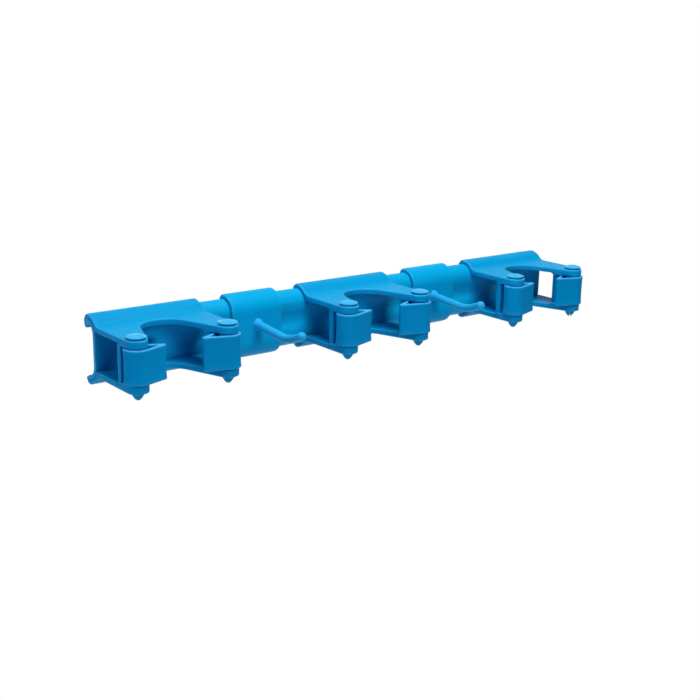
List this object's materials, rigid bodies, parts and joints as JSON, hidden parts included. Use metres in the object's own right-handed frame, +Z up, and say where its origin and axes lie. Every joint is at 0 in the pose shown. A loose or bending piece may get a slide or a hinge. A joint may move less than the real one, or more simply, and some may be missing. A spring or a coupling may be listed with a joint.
{
  "type": "wall mop holder rack",
  "caption": "Wall rack: a half round rail carries clips with turning rubber grips for tool handles, and peg hooks for hand tools; all of them snap over the rail.",
  "frame": {"origin": "middle of the screw pattern on the wall plane, at the rail's middle height", "axes": "+X along the rail, +Y into the wall, +Z up; the front faces -Y"},
  "size_m": [0.4232, 0.0766, 0.048],
  "materials": {
    "rail_plastic": "satin",
    "clip_plastic": "satin",
    "pin_plastic": "satin",
    "grip_rubber": "matte"
  },
  "bodies": {
    "rail_body": {"rail": "rail_plastic"},
    "clip_left_body": {"clip_left": "clip_plastic", "clip_left_pin_a": "pin_plastic", "clip_left_pin_b": "pin_plastic"},
    "clip_left_grip_a_body": {"clip_left_grip_a": "grip_rubber"},
    "clip_left_grip_b_body": {"clip_left_grip_b": "grip_rubber"},
    "clip_middle_body": {"clip_middle": "clip_plastic", "clip_middle_pin_a": "pin_plastic", "clip_middle_pin_b": "pin_plastic"},
    "clip_middle_grip_a_body": {"clip_middle_grip_a": "grip_rubber"},
    "clip_middle_grip_b_body": {"clip_middle_grip_b": "grip_rubber"},
    "clip_right_body": {"clip_right": "clip_plastic", "clip_right_pin_a": "pin_plastic", "clip_right_pin_b": "pin_plastic"},
    "clip_right_grip_a_body": {"clip_right_grip_a": "grip_rubber"},
    "clip_right_grip_b_body": {"clip_right_grip_b": "grip_rubber"},
    "hook_left_body": {"hook_left": "clip_plastic"},
    "hook_right_body": {"hook_right": "clip_plastic"}
  },
  "joints": [
    {"name": "clip_left_slide", "type": "slide", "parent": "rail_body", "child": "clip_left_body", "axis": [1, 0, 0], "range_m": [0, 0.01]},
    {"name": "clip_left_grip_a_turn", "type": "hinge", "parent": "clip_left_body", "child": "clip_left_grip_a_body", "pos_m": [-0.2026, -0.0599, 0], "axis": [0, 0, 1], "range_deg": [-28, 30], "stiffness_Nm_per_rad": 0.01},
    {"name": "clip_left_grip_b_turn", "type": "hinge", "parent": "clip_left_body", "child": "clip_left_grip_b_body", "pos_m": [-0.1351, -0.0599, 0], "axis": [0, 0, -1], "range_deg": [-28, 30], "stiffness_Nm_per_rad": 0.01},
    {"name": "clip_middle_slide", "type": "slide", "parent": "rail_body", "child": "clip_middle_body", "axis": [1, 0, 0], "range_m": [-0.01, 0.01]},
    {"name": "clip_middle_grip_a_turn", "type": "hinge", "parent": "clip_middle_body", "child": "clip_middle_grip_a_body", "pos_m": [-0.03375, -0.0599, 0], "axis": [0, 0, 1], "range_deg": [-28, 30], "stiffness_Nm_per_rad": 0.01},
    {"name": "clip_middle_grip_b_turn", "type": "hinge", "parent": "clip_middle_body", "child": "clip_middle_grip_b_body", "pos_m": [0.03375, -0.0599, 0], "axis": [0, 0, -1], "range_deg": [-28, 30], "stiffness_Nm_per_rad": 0.01},
    {"name": "clip_right_slide", "type": "slide", "parent": "rail_body", "child": "clip_right_body", "axis": [1, 0, 0], "range_m": [-0.01, 0]},
    {"name": "clip_right_grip_a_turn", "type": "hinge", "parent": "clip_right_body", "child": "clip_right_grip_a_body", "pos_m": [0.1351, -0.0599, 0], "axis": [0, 0, 1], "range_deg": [-28, 30], "stiffness_Nm_per_rad": 0.01},
    {"name": "clip_right_grip_b_turn", "type": "hinge", "parent": "clip_right_body", "child": "clip_right_grip_b_body", "pos_m": [0.2026, -0.0599, 0], "axis": [0, 0, -1], "range_deg": [-28, 30], "stiffness_Nm_per_rad": 0.01},
    {"name": "hook_left_slide", "type": "slide", "parent": "rail_body", "child": "hook_left_body", "axis": [1, 0, 0], "range_m": [-0.01, 0.01]},
    {"name": "hook_right_slide", "type": "slide", "parent": "rail_body", "child": "hook_right_body", "axis": [1, 0, 0], "range_m": [-0.01, 0.01]}
  ]
}
